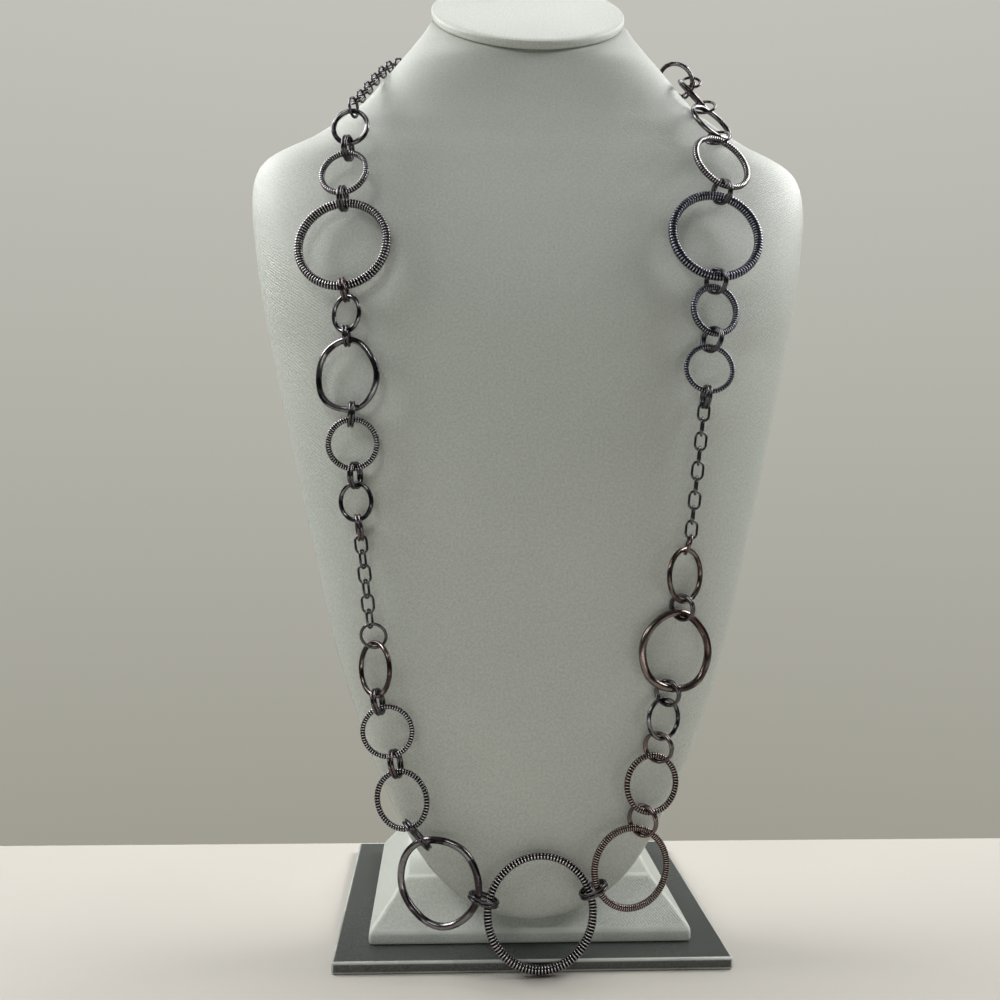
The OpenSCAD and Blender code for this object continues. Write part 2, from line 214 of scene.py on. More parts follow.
def leatherette(name, light, shade, rubbed_and_sheen, gloss, relief):
    """Coated cloth with an embossed weave: its colours on the threads, between them, and a painted highlight
    on the rubbed edges.
    """
    material = bpy.data.materials.new(name)
    material.use_nodes = True
    tree = material.node_tree
    surface = tree.nodes["Principled BSDF"]
    weave = add_node(tree, "ShaderNodeGroup", node_tree=embossed_weave)
    weave.inputs["Pitch"].default_value = thread_pitch
    weave.inputs["Stray"].default_value = thread_stray
    weave.inputs["Tone scale"].default_value = tone_scale
    tone = maths(tree, "ADD", maths(tree, "MULTIPLY", weave.outputs["Tone"], tone_swing), tone_base)
    sunk = maths(tree, "SUBTRACT", tone, weave.outputs["Speck"])
    colour = blend_colour(tree, sunk, light, shade)
    # The rounded edges take a paler colour, which is a painted highlight over the wear there.
    colour = blend_colour(tree, weave.outputs["Edge sheen"], colour, rubbed_and_sheen)
    tree.links.new(colour, surface.inputs["Base Color"])
    rough = maths(tree, "ADD", gloss, maths(tree, "MULTIPLY", weave.outputs["Tone"], gloss_swing))
    tree.links.new(rough, surface.inputs["Roughness"])
    bump = add_node(
        tree,
        "ShaderNodeBump",
        {"Strength": relief, "Distance": weave_depth, "Height": weave.outputs["Height"]},
    )
    tree.links.new(bump.outputs["Normal"], surface.inputs["Normal"])
    surface.inputs["Specular IOR Level"].default_value = 0.45
    return material


# The plate's edge colour is far paler than the cloth. It is a painted highlight along its rounded edges.
plate_cover = leatherette(
    "dark_leatherette",
    (0.07, 0.076, 0.068, 1),
    (0.03, 0.034, 0.03, 1),
    (0.5, 0.52, 0.48, 1),
    gloss=0.2,
    relief=0.45,
)
plate_mesh = wrapped_box(
    "base_plate_wrap",
    [(plate_w / 2, plate_d / 2, 0), (plate_w / 2, plate_d / 2, plate_t)],
    plate_edge,
)
lay_cloth(plate_mesh)
fit("base_plate_wrap", plate_mesh, plate_cover, "base_cover", "base_plate")

# The block: a wooden foot with four sloped sides, covered in pale leatherette and glued to the plate.
# The bust's tip hangs down before its front slope.
block_w = 146
block_d = 126
block_band = 6
block_inset = 16
block_top = 31.5
block_edge = 1.6
# The edge colour is a little paler than the cloth. It is a painted highlight along the rounded edges.
stand_cover = leatherette(
    "pale_leatherette",
    (0.52, 0.545, 0.495, 1),
    (0.4, 0.425, 0.38, 1),
    (0.55, 0.575, 0.525, 1),
    gloss=0.36,
    relief=0.7,
)
block_mesh = wrapped_box(
    "base_block_wrap",
    [
        (block_w / 2, block_d / 2, plate_t),
        (block_w / 2, block_d / 2, plate_t + block_band),
        (block_w / 2 - block_inset, block_d / 2 - block_inset, block_top),
    ],
    block_edge,
)
lay_cloth(block_mesh)
fit("base_block_wrap", block_mesh, stand_cover, "stand_cover", "base_block")

# The bust: a moulded chest, shoulders and neck, with the same pale leatherette drawn tight over it.
# The front and back covers meet in a fine seam down each side.
tip_top = 31.8
tip_rows = 5
# Columns: height, half of the width, front, widest line and back along Y, in mm. The first rows are the tip.
bust_levels = np.array([
    [17.5, 2, -66, -64, -61],
    [18.5, 8.5, -67, -64, -60],
    [20, 16, -68, -64, -59],
    [25, 28, -69.5, -63.5, -55],
    [tip_top, 37.5, -71, -63, -49],
    [38, 44, -72, -62.5, -13.5],
    [46, 50, -73, -61.5, -12.5],
    [60, 58.5, -75, -60, -11],
    [78, 67.5, -77, -57.5, -9],
    [100, 76.5, -79, -54.5, -6.5],
    [140, 90, -81.5, -49.5, -2],
    [180, 100, -83, -44.5, 2.5],
    [220, 109.5, -83, -39.5, 7],
    [265, 120, -79.5, -33.5, 12],
    [300, 127.5, -73, -29, 16.5],
    [325, 131.5, -65, -26, 19.5],
    [345, 133.5, -57.5, -23.5, 22],
    [358, 133, -52, -20.5, 24],
    [366, 130, -49, -18, 25.5],
    [372, 122, -46.5, -16, 27],
    [378, 110, -44, -14, 28.5],
    [384, 101, -42, -12.5, 30],
    [392, 90.5, -39, -10.5, 33],
    [402, 80, -36.5, -8.5, 36.5],
    [413, 71.5, -34, -7, 40.5],
    [421, 65.5, -31.5, -6, 43.5],
    [427, 61, -26, -5, 45.5],
    [433, 57, -20.5, -4, 47],
    [442, 51, -9, -2, 48],
    [449, 48, -6, 0, 48],
    [456, 47.5, -5, 1, 48],
    [500, 47.5, -5, 1, 48],
])
tip_back = bust_levels[:tip_rows, [0, 4]].T
body_back_foot = -14
# How square the front and the back of a level are, by height: 2 is an ellipse.
front_square = ([275, 386, 430], [2.2, 4.4, 2.4])
back_square = ([366, 430], [3, 2])
cap_middle = np.array([0, 6, 456.5])
cap_tilt = math.radians(38)
cap_t = 4.4
seat_gap = 0.3
cap_out = np.array([0, -math.sin(cap_tilt), math.cos(cap_tilt)])
bust_sides = 176
# Heights of the mesh's levels: few on the chest, and close together at the tip and over the shoulders.
tip_heights = [17.5, 18, 18.5, 19.2, 20, 21.5, 23, 25, 27, 29.5, tip_top, tip_top + 0.1]
chest_start = 34
chest_pitch = 4
shoulder_start = 336
shoulder_pitch = 1.5
neck_start = 405
neck_steps = 34
# The neck's end is found by halving the stretch below this height.
neck_limit = 499.0
halvings = 30
bust_sharp = math.radians(50)


def drawn_profile(rows, pitch, rounds):
    """The rows run through at an even pitch along the outline, and eased so that no kink is left."""
    steps = np.hypot(np.diff(rows[:, 0]), np.diff(rows[:, 1]))
    at = np.concatenate([[0], np.cumsum(steps)])
    even = np.linspace(0, at[-1], int(at[-1] / pitch))
    columns = []
    for column in rows.T:
        slope = np.gradient(column, at)
        k = np.clip(np.searchsorted(at, even, side="right") - 1, 0, len(at) - 2)
        span = at[k + 1] - at[k]
        t = (even - at[k]) / span
        values = (
            (2 * t**3 - 3 * t**2 + 1) * column[k]
            + (t**3 - 2 * t**2 + t) * span * slope[k]
            + (3 * t**2 - 2 * t**3) * column[k + 1]
            + (t**3 - t**2) * span * slope[k + 1]
        )
        for _ in range(rounds):
            values[1:-1] = 0.25 * values[:-2] + 0.5 * values[1:-1] + 0.25 * values[2:]
        columns.append(values)
    return np.array(columns)


bust_rows = bust_levels.copy()
bust_rows[:tip_rows, 4] = body_back_foot
profile = drawn_profile(bust_rows, pitch=2, rounds=5)


def signed_power(value, power):
    return np.sign(value) * np.abs(value) ** power


def bust_surface(z, angle):
    """Points of the bust's skin at heights z, in mm, and angles round its level outline."""
    half, front, widest, back = (np.interp(z, profile[0], profile[i]) for i in (1, 2, 3, 4))
    back = np.where(z <= tip_top, np.interp(z, *tip_back), back)
    in_front = np.sin(angle) < 0
    power = 2 / np.where(in_front, np.interp(z, *front_square), np.interp(z, *back_square))
    rise = np.where(in_front, np.sin(angle), signed_power(np.sin(angle), power))
    reach = np.where(in_front, widest - front, back - widest)
    return np.stack([half * signed_power(np.cos(angle), power), widest + reach * rise, z], axis=-1)


def neck_end(angle):
    """The height at which each column of the neck meets the underside of the cap."""
    low = np.full_like(angle, neck_start)
    high = np.full_like(angle, neck_limit)
    for _ in range(halvings):
        middle = (low + high) / 2
        above = (bust_surface(middle, angle) - cap_middle) @ cap_out > -cap_t - seat_gap
        high = np.where(above, middle, high)
        low = np.where(above, low, middle)
    return low


def skinned(name, levels):
    """A closed mesh over a stack of level loops, (levels, points, 3) in mm, with its cloth laid on it."""
    count, around, _ = levels.shape
    points = levels.reshape(-1, 3) * mm
    faces = []
    for k in range(count - 1):
        for i in range(around):
            j = (i + 1) % around
            faces.append((k * around + i, k * around + j, (k + 1) * around + j, (k + 1) * around + i))
    faces.append(tuple(range(around - 1, -1, -1)))
    faces.append(tuple((count - 1) * around + i for i in range(around)))
    mesh = bpy.data.meshes.new(name)
    mesh.from_pydata(points.tolist(), [], faces)
    closed = np.concatenate([levels, levels[:, :1]], axis=1)
    girth = np.concatenate(
        [np.zeros((count, 1)), np.cumsum(np.linalg.norm(np.diff(closed, axis=1), axis=2), axis=1)], axis=1
    )
    # The cloth is measured round both ways from the middle of the front.
    girth -= girth[:, around * 3 // 4][:, None]
    rise = np.concatenate(
        [np.zeros((1, around)), np.cumsum(np.linalg.norm(np.diff(levels, axis=0), axis=2), axis=0)]
    )
    lay = mesh.attributes.new("lay", "FLOAT_VECTOR", "CORNER")
    flat = np.zeros((len(mesh.loops), 3), np.float32)
    for face in mesh.polygons:
        sides = face.index % around
        k = face.index // around
        if k >= count - 1:
            for corner in face.loop_indices:
                at = mesh.vertices[mesh.loops[corner].vertex_index].co
                flat[corner] = (at.x / mm, at.y / mm, 0)
            continue
        start = face.loop_start
        j = (sides + 1) % around
        flat[start] = (girth[k, sides], rise[k, sides], 0)
        flat[start + 1] = (girth[k, sides + 1], rise[k, j], 0)
        flat[start + 2] = (girth[k + 1, sides + 1], rise[k + 1, j], 0)
        flat[start + 3] = (girth[k + 1, sides], rise[k + 1, sides], 0)
    lay.data.foreach_set("vector", flat.ravel())
    return mesh


around_bust = np.arange(bust_sides) * 2 * math.pi / bust_sides
body_heights = np.concatenate([
    tip_heights,
    np.arange(chest_start, shoulder_start, chest_pitch),
    np.arange(shoulder_start, neck_start, shoulder_pitch),
])
bust_body = np.array([bust_surface(np.full(bust_sides, z), around_bust) for z in body_heights])
ends = neck_end(around_bust)
bust_neck = np.array([
    bust_surface(neck_start + (ends - neck_start) * i / neck_steps, around_bust)
    for i in range(neck_steps + 1)
])
bust_mesh = skinned("bust_cover", np.concatenate([bust_body, bust_neck]))
fit("bust_cover", bust_mesh, stand_cover, "stand_cover", "bust")
bust_mesh.set_sharp_from_angle(angle=bust_sharp)

# The side seams: a turned-in edge where the front cover meets the back one, a hair wide, its cloth painted
# dark as the shade in the crease.
# They run from beside the tip over the shoulders and up the neck.
seam_radius = 0.38
seam_inset = 0.22
seam_sides = 8
seam_foot = 40
seam_head = 440
seam_pitch = 6


def tube(centres, outward, across, radii, closed):
    """Vertices and faces of a wire swept through stations. radii has a row of sides for each station."""
    count, sides = radii.shape
    angle = np.arange(sides) * 2 * math.pi / sides
    spoke = outward[:, None] * np.cos(angle)[None, :, None] + across[:, None] * np.sin(angle)[None, :, None]
    points = (centres[:, None] + spoke * radii[:, :, None]).reshape(-1, 3)
    faces = []
    for k in range(count if closed else count - 1):
        after = (k + 1) % count
        for i in range(sides):
            j = (i + 1) % sides
            faces.append((k * sides + i, k * sides + j, after * sides + j, after * sides + i))
    if not closed:
        faces.append(tuple(range(sides - 1, -1, -1)))
        faces.append(tuple((count - 1) * sides + i for i in range(sides)))
    return points, faces


def unit(v):
    return v / np.linalg.norm(v, axis=-1, keepdims=True)


seam_points = []
seam_faces = []
for side_angle in (0.0, math.pi):
    heights = np.concatenate([
        np.arange(seam_foot, shoulder_start, seam_pitch),
        np.arange(shoulder_start, seam_head, shoulder_pitch),
    ])
    line = bust_surface(heights, np.full_like(heights, side_angle))
    along = unit(np.gradient(line, axis=0))
    out = unit(np.cross(along, [0, 1 if side_angle else -1, 0]))
    out *= np.sign(out[:, :1] * line[:, :1])
    radii = np.full((len(line), seam_sides), seam_radius)
    points, faces = tube(line - out * seam_inset, out, np.cross(along, out), radii, closed=False)
    seam_faces += [tuple(i + len(seam_points) for i in f) for f in faces]
    seam_points += points.tolist()
seam_mesh = bpy.data.meshes.new("side_seams")
seam_mesh.from_pydata((np.array(seam_points) * mm).tolist(), [], seam_faces)
# The seam's cloth is far darker than the cover. It is painted shade in the seam's crease.
seam_painted_shade = leatherette(
    "seam_painted_shade_cloth",
    (0.16, 0.17, 0.15, 1),
    (0.1, 0.11, 0.095, 1),
    (0.25, 0.26, 0.24, 1),
    gloss=0.5,
    relief=0.2,
)
fit("side_seams", seam_mesh, seam_painted_shade, "stand_cover")

# The neck cap: a padded oval lid in the same leatherette, set slanting forward on the cut neck.
# Its rim is turned over the board, which leaves a fold all round the top.
cap_half_w = 49.6
cap_half_d = 54.6
cap_sides = 128
cap_sharp = math.radians(60)
# Columns: height above the cap's top plane, and how far in from its widest outline, in mm.
cap_rim = [
    (-cap_t, 1.0), (-4.2, 0.55), (-3.8, 0.28), (-3.1, 0.2), (-2.2, 0.2), (-1.5, 0.25),
    (-1.0, 0.42), (-0.6, 0.75), (-0.4, 1.2), (-0.52, 1.5), (-0.4, 1.85), (-0.22, 2.6),
    (-0.12, 4), (-0.05, 8), (0, 16), (0, 30),
]
around_cap = np.arange(cap_sides) * 2 * math.pi / cap_sides
tilt = np.array([
    [1, 0, 0],
    [0, math.cos(cap_tilt), -math.sin(cap_tilt)],
    [0, math.sin(cap_tilt), math.cos(cap_tilt)],
])
cap_loops = []
for height, inset in cap_rim:
    flat_loop = np.stack(
        [
            (cap_half_w - inset) * np.cos(around_cap),
            (cap_half_d - inset) * np.sin(around_cap),
            np.full(cap_sides, height),
        ],
        axis=-1,
    )
    cap_loops.append(flat_loop @ tilt.T + cap_middle)
cap_mesh = skinned("neck_cap_cover", np.array(cap_loops))
fit("neck_cap_cover", cap_mesh, stand_cover, "stand_cover", "neck_cap")
cap_mesh.set_sharp_from_angle(angle=cap_sharp)

# The main rings: 24 open rings of antiqued plating over brass, hung one from the next. Some are plain wire,
# some are hammered out of round, and the largest are cut with fine ribs across the wire.
# Columns: node, slot, kind, ribs, X, Y and Z of the middle, outside diameter, wire, turn, lean and copper.
ring_rows = [
    ("left_ring_1", "gunmetal", "plain", 0, -84.5, -54.5, 374, 18, 2.3, -12, 10, 0.1),
    ("left_ring_2", "gunmetal", "fine", 58, -86.5, -62.5, 351, 23.5, 2.6, -16, 20, 0.25),
    ("left_ring_3", "gunmetal", "ribbed", 95, -86.5, -67.5, 318, 44, 3.9, -11, 15, 0.15),
    ("left_ring_4", "gunmetal", "plain", 0, -84, -73, 286.5, 17.4, 2, -40, 2, 0),
    ("left_ring_5", "gunmetal", "hammered", 0, -83.5, -73.5, 259.5, 32.5, 2.8, -25, 2, 0.15),
    ("left_ring_6", "gunmetal", "ribbed", 62, -80.5, -78, 229.5, 23.8, 2.6, -6, 0, 0.1),
    ("left_ring_7", "gunmetal", "plain", 0, -79, -76, 204.5, 18, 2, -30, 0, 0.1),
    ("left_ring_8", "copper_metal", "plain", 0, -70, -78, 132, 25, 2.2, -54, 2, 0.5),
    ("left_ring_9", "gunmetal", "ribbed", 60, -64.5, -78.5, 105, 23.8, 2.3, -6, 2, 0.45),
    ("left_ring_10", "gunmetal", "ribbed", 62, -58, -79.5, 75.5, 27, 2.5, -27, 3, 0.1),
    ("left_ring_11", "gunmetal", "hammered", 0, -41.5, -80.5, 40, 39.5, 3.3, -20, 3, 0.35),
    ("centre_ring", "gunmetal", "ribbed", 105, 2.5, -81.5, 26.6, 50.8, 3.7, 3, 6, 0.4),
    ("right_ring_1", "gunmetal", "plain", 0, 75.5, 0, 420, 19.5, 2.2, 142, 42, 0.4),
    ("right_ring_2", "gunmetal", "plain", 0, 80.5, -20, 404.5, 22.5, 2.2, 62, 41, 0.5),
    ("right_ring_3", "gunmetal", "plain", 0, 84.5, -39, 385.5, 24, 2.35, 37, 36, 0.4),
    ("right_ring_4", "gunmetal", "fine", 76, 85, -57.5, 361, 30.7, 2.75, 24, 26, 0.4),
    ("right_ring_5", "blued_metal", "ribbed", 95, 80, -68, 325, 44, 4, 6, 15, 0),
    ("right_ring_6", "blued_metal", "ribbed", 62, 78.5, -74, 290.5, 24, 2.9, 16, 7, 0),
    ("right_ring_7", "blued_metal", "ribbed", 58, 75, -79, 264, 22.8, 2.25, 2, 12, 0.1),
    ("right_ring_8", "copper_metal", "plain", 0, 64.5, -81.5, 173.5, 25, 2.25, 42, 0, 0.8),
    ("right_ring_9", "copper_metal", "hammered", 0, 61, -80, 140, 36, 3.4, 16, 2, 0.7),
    ("right_ring_10", "gunmetal", "plain", 0, 56, -79.5, 110.5, 19.4, 2, 32, 2, 0),
    ("right_ring_11", "copper_metal", "ribbed", 62, 51, -79.5, 82, 27.3, 2.6, 21, 3, 0.6),
    ("right_ring_12", "copper_metal", "fine", 108, 42, -80.5, 45.5, 37.5, 3, 16, 3, 0.85),
]
Ring = namedtuple("Ring", "node slot kind ribs x y z outer wire turn lean copper")
main_rings = [Ring(*row) for row in ring_rows]
# How a hand-shaped ring leaves the circle. Columns: lobes round the ring, depth, angle in degrees.
ring_shapes = {
    "left_ring_5": [(2, 0.03, 100), (3, 0.02, 215), (5, 0.012, 220)],
    "left_ring_11": [(2, 0.03, 125), (3, 0.015, 30), (5, 0.01, 200)],
    "right_ring_9": [(2, 0.02, 90), (3, 0.02, 320), (5, 0.012, 300)],
    "centre_ring": [(2, 0.019, 90)],
}
foot_heavier = {"centre_ring": 0.14}
rib_steps = 6
rib_depth = {"ribbed": 0.17, "fine": 0.14}
wire_sides = 24
rib_square = 2.6
crest_power = 0.8
plain_steps = 160
# Hammer marks: how deep they are, how long for their width, how wide for the wire, and how far
# a flat reaches.
mark_depth = {"hammered": 0.075, "plain": 0.035}
mark_stretch = 2.6
mark_pitch = 1.1
mark_reach = 0.5
# How rubbed a flat is, and how much more the ridge beside it.
flat_raised = 0.58
ridge_raised = 0.2
dents = np.random.default_rng(5)


def ring_frame(turn, lean):
    """The side, upright and face directions of a ring that is swung by turn and tipped by lean degrees."""
    t = math.radians(turn)
    tip = math.radians(lean)
    face = np.array([math.sin(t) * math.cos(tip), -math.cos(t) * math.cos(tip), math.sin(tip)])
    side = unit(np.cross([0, 0, 1], face))
    return side, np.cross(face, side), face


def swell(name, angle):
    total = np.ones_like(angle)
    for lobes, depth, at in ring_shapes.get(name, ()):
        total += depth * np.cos(lobes * (angle - math.radians(at)))
    return total


def middle_of(ring):
    return np.array([ring.x, ring.y, ring.z], float)


def rim_radius(angle, ring):
    return (ring.outer - ring.wire) / 2 * swell(ring.node, angle)


def hammer_marks(length, girth, pitch, count, sides):
    """Long flats left by the hammer: 0 in the middle of a flat, and 1 on the ridges between flats."""
    s, b = np.meshgrid(np.arange(count) / count * length, np.arange(sides) / sides * girth, indexing="ij")
    marks = int(length * girth / (mark_stretch * pitch**2))
    spots = dents.random((marks, 2)) * [length, girth]
    nearest = np.full(s.shape, np.inf)
    for along, round_wire in spots:
        ds = np.abs(s - along)
        db = np.abs(b - round_wire)
        ds = np.minimum(ds, length - ds) / mark_stretch
        db = np.minimum(db, girth - db)
        nearest = np.minimum(nearest, ds**2 + db**2)
    return np.clip(nearest / (mark_reach * pitch) ** 2, 0, 1)


def ring_wire(ring):
    """A main ring's swept wire: centres, outward and face directions, radii, and how raised it is."""
    side, up, face = ring_frame(ring.turn, ring.lean)
    count = ring.ribs * rib_steps if ring.ribs else plain_steps
    angle = np.arange(count) * 2 * math.pi / count
    outward = np.cos(angle)[:, None] * side + np.sin(angle)[:, None] * up
    centres = middle_of(ring) + outward * rim_radius(angle, ring)[:, None]
    across = np.broadcast_to(face, centres.shape)
    girth = ring.wire / 2 * (1 - foot_heavier.get(ring.node, 0) * np.sin(angle))
    if ring.ribs:
        crest = (0.5 + 0.5 * np.cos(angle * ring.ribs)) ** crest_power
        raised = np.repeat(crest[:, None], wire_sides, axis=1)
        spoke = np.arange(wire_sides) * 2 * math.pi / wire_sides
        sum_of_powers = np.abs(np.cos(spoke)) ** rib_square + np.abs(np.sin(spoke)) ** rib_square
        squared = sum_of_powers ** (-1 / rib_square)
        radii = girth[:, None] * squared * (1 - rib_depth[ring.kind] * (1 - raised))
    else:
        length = math.pi * ring.outer
        flats = hammer_marks(length, math.pi * ring.wire, mark_pitch * ring.wire, count, wire_sides)
        raised = flat_raised + ridge_raised * flats
        radii = girth[:, None] * (1 - mark_depth[ring.kind] * (1 - flats))
    return centres, outward, across, radii, raised


def wire_piece(name, wires, material, slot, *nodes):
    """One smooth piece from swept closed wires, with its raised and copper shares kept for the plating."""
    points = []
    faces = []
    raised = []
    copper = []
    for centres, outward, across, radii, high, share in wires:
        own_points, own_faces = tube(centres, outward, across, radii, closed=True)
        faces += [tuple(i + len(points) for i in f) for f in own_faces]
        points += own_points.tolist()
        raised += high.ravel().tolist()
        copper += np.broadcast_to(share, high.shape).ravel().tolist()
    mesh = bpy.data.meshes.new(name)
    mesh.from_pydata((np.array(points) * mm).tolist(), [], faces)
    mesh.attributes.new("raised", "FLOAT", "POINT").data.foreach_set("value", raised)
    mesh.attributes.new("copper", "FLOAT", "POINT").data.foreach_set("value", copper)
    fit(name, mesh, material, slot, *nodes)


# The plating's tint drifts in patches, over a grain that is ten times finer. Scales are per metre.
drift_scale = 90.0
grain_scale = 900.0
tint_drift = 0.8
grain_relief = 0.6


def plating_group():
    """Antiqued plating: dark in the recesses, rubbed bright on raised metal, with drifting tints."""
    group, given, out = new_group(
        "antiqued_plating",
        [
            ("Body", "Color", (0.1, 0.1, 0.1, 1)),
            ("Tint", "Color", (0.3, 0.15, 0.1, 1)),
            ("Recess", "Color", (0.01, 0.01, 0.01, 1)),
            ("Rub", "Color", (0.6, 0.6, 0.6, 1)),
            ("Rubbed", "Float", 0.5),
        ],
        [("Color", "Color", None), ("Roughness", "Float", None), ("Height", "Float", None)],
    )
    place = add_node(group, "ShaderNodeTexCoord").outputs["Object"]
    raised = add_node(group, "ShaderNodeAttribute", attribute_name="raised").outputs["Fac"]
    copper = add_node(group, "ShaderNodeAttribute", attribute_name="copper").outputs["Fac"]
    drift = noise(group, place, drift_scale, detail=2.0)
    grain = noise(group, place, grain_scale, detail=4.0, rough=0.7)
    patch = add_node(
        group, "ShaderNodeMapRange", {"Value": drift, "From Min": 0.35, "From Max": 0.68}
    ).outputs[0]
    strength = maths(group, "ADD", maths(group, "MULTIPLY", patch, tint_drift), 1 - tint_drift)
    tinted = maths(group, "MULTIPLY", copper, strength)
    body = blend_colour(group, tinted, given["Body"], given["Tint"])
    bright = add_node(
        group, "ShaderNodeMapRange", {"Value": raised, "From Min": 0.68, "From Max": 1.0}
    ).outputs[0]
    wear = maths(group, "MULTIPLY", maths(group, "MULTIPLY", bright, given["Rubbed"]), grain)
    rubbed_and_sheen = blend_colour(group, maths(group, "MINIMUM", wear, 1.0), body, given["Rub"])
    hollow = add_node(
        group, "ShaderNodeMapRange", {"Value": raised, "From Min": 0.25, "From Max": 0.6}
    ).outputs[0]
    colour = blend_colour(group, hollow, given["Recess"], rubbed_and_sheen)
    group.links.new(colour, out["Color"])
    polish = maths(group, "ADD", raised, grain)
    rough = add_node(
        group,
        "ShaderNodeMapRange",
        {"Value": polish, "From Min": 0.4, "From Max": 1.6, "To Min": 0.42, "To Max": 0.14},
    ).outputs[0]
    group.links.new(rough, out["Roughness"])
    height = maths(group, "ADD", maths(group, "MULTIPLY", grain, grain_relief), drift)
    group.links.new(height, out["Height"])
    return group


antiqued_plating = plating_group()
recess_black = (0.006, 0.0055, 0.0065, 1)
# How strongly the grain shows, its depth in metres, and how far the main rings' crests are rubbed.
plating_relief = 0.25
plating_depth = 0.0001
crest_rubbed = 1.6


def plating(name, body, tint, rub_and_sheen, rubbed_and_sheen):
    """Antiqued plating on a wire: its body, the tint that drifts over it, its rubbed metal and how much."""
    material = bpy.data.materials.new(name)
    material.use_nodes = True
    tree = material.node_tree
    surface = tree.nodes["Principled BSDF"]
    coat = add_node(tree, "ShaderNodeGroup", node_tree=antiqued_plating)
    coat.inputs["Body"].default_value = body
    coat.inputs["Tint"].default_value = tint
    coat.inputs["Recess"].default_value = recess_black
    coat.inputs["Rub"].default_value = rub_and_sheen
    coat.inputs["Rubbed"].default_value = rubbed_and_sheen
    tree.links.new(coat.outputs["Color"], surface.inputs["Base Color"])
    tree.links.new(coat.outputs["Roughness"], surface.inputs["Roughness"])
    bump = add_node(
        tree,
        "ShaderNodeBump",
        {"Strength": plating_relief, "Distance": plating_depth, "Height": coat.outputs["Height"]},
    )
    tree.links.new(bump.outputs["Normal"], surface.inputs["Normal"])
    surface.inputs["Metallic"].default_value = 0.95
    return material


platings = {
    "gunmetal": plating(
        "gunmetal_plating",
        (0.026, 0.025, 0.03, 1),
        (0.08, 0.045, 0.04, 1),
        (0.66, 0.64, 0.64, 1),
        crest_rubbed,
    ),
    "blued_metal": plating(
        "blued_plating",
        (0.018, 0.019, 0.03, 1),
        (0.06, 0.042, 0.055, 1),
        (0.56, 0.56, 0.65, 1),
        crest_rubbed,
    ),
    "copper_metal": plating(
        "copper_plating",
        (0.032, 0.027, 0.028, 1),
        (0.1, 0.058, 0.048, 1),
        (0.58, 0.48, 0.44, 1),
        crest_rubbed,
    ),
}
for ring in main_rings:
    ring_wires = [(*ring_wire(ring), ring.copper)]
    wire_piece(ring.node + "_wire", ring_wires, platings[ring.slot], ring.slot, ring.node)

# The jump rings: cut rings of plain round wire, twisted shut through the rims of two neighbours.
# Most hang in pairs side by side.
jump_wire = 1.35
jump_gap = 0.2
pair_gap = 0.12
pair_step = jump_wire + pair_gap
pair_room = 0.45
jump_sides = 14
jump_steps = 64
cut_ring_raised = 0.8
rings_by_name = {ring.node: ring for ring in main_rings}


def rim(name, target):
    """Where a ring's wire comes nearest to a target: its point, its direction and the wire's radius."""
    ring = rings_by_name[name]
    middle = middle_of(ring)
    side, up, _ = ring_frame(ring.turn, ring.lean)
    away = target - middle
    angle = math.atan2(away @ up, away @ side)
    outward = math.cos(angle) * side + math.sin(angle) * up
    point = middle + outward * rim_radius(np.array(angle), ring)
    return point, -math.sin(angle) * side + math.cos(angle) * up, ring.wire / 2


def facing_rims(upper, lower):
    """The two places where neighbouring rings face each other."""
    near_lower = rim(lower, middle_of(rings_by_name[upper]))
    from_upper = rim(upper, near_lower[0])
    return from_upper, rim(lower, from_upper[0])


def jump(a, b, twist, room):
    """The jump ring that hangs rim b from rim a: its middle, face and outside diameter."""
    u = unit(a[0] - b[0])
    top = a[0] + u * (a[2] + jump_wire / 2 + jump_gap + room)
    bottom = b[0] - u * (b[2] + jump_wire / 2 + jump_gap + room)
    same = -1 if a[1] @ b[1] < 0 else 1
    both = a[1] + same * b[1]
    across = unit(both - u * (both @ u))
    turn = math.radians(twist)
    face = across * math.cos(turn) + np.cross(u, across) * math.sin(turn)
    return (top + bottom) / 2, face, np.linalg.norm(top - bottom) + jump_wire


def round_wires(middle, face, outer, wire, count, step, steps, sides, copper):
    """A round ring, or a few side by side along its face, as swept wires."""
    side = unit(np.cross(face, [0, 0, 1] if abs(face[2]) < 0.9 else [0, 1, 0]))
    up = np.cross(face, side)
    angle = np.arange(steps) * 2 * math.pi / steps
    outward = np.cos(angle)[:, None] * side + np.sin(angle)[:, None] * up
    made = []
    for i in range(count):
        centres = middle + face * step * (i - (count - 1) / 2) + outward * (outer - wire) / 2
        across = np.broadcast_to(face, centres.shape)
        radii = np.full((steps, sides), wire / 2)
        made.append((centres, outward, across, radii, np.full_like(radii, cut_ring_raised), copper))
    return made


def jumps(middle, face, outer, count, copper):
    return round_wires(middle, face, outer, jump_wire, count, pair_step, jump_steps, jump_sides, copper)


# The chains: oval links of plain wire, each turned a quarter or so from the last. Two short runs hang in
# front between rings, and the rest goes round behind the neck. Routes are points along a chain, in mm.
link_wire = 1.1
link_length = 9
link_width = 6
link_play = 0.25
link_pitch = link_length - 2 * link_wire - link_play
front_turn = (5, 68)
neck_turn = (40, -45)
routes = {
    "front_chain_left": ([(-76.5, -77, 186), (-72.5, -79, 154)], front_turn),
    "front_chain_right": ([(72.5, -79.5, 245), (67, -82, 193.5)], front_turn),
    "neck_chain_left": (
        [
            (-82, -48, 388.5), (-78.5, -35, 398.5), (-75, -22, 409), (-71.5, -9.5, 418),
            (-68, 2, 425), (-63, 13, 430), (-55, 26, 434), (-43, 38, 437), (-27, 48, 438.5),
            (-14, 52, 439), (-4.9, 52, 439),
        ],
        neck_turn,
    ),
    "neck_chain_right": (
        [
            (72.5, 16.3, 416), (66, 25, 420), (54, 35.5, 426), (41, 43, 431), (27, 49, 436),
            (18, 52, 439), (10.2, 52, 439),
        ],
        neck_turn,
    ),
}
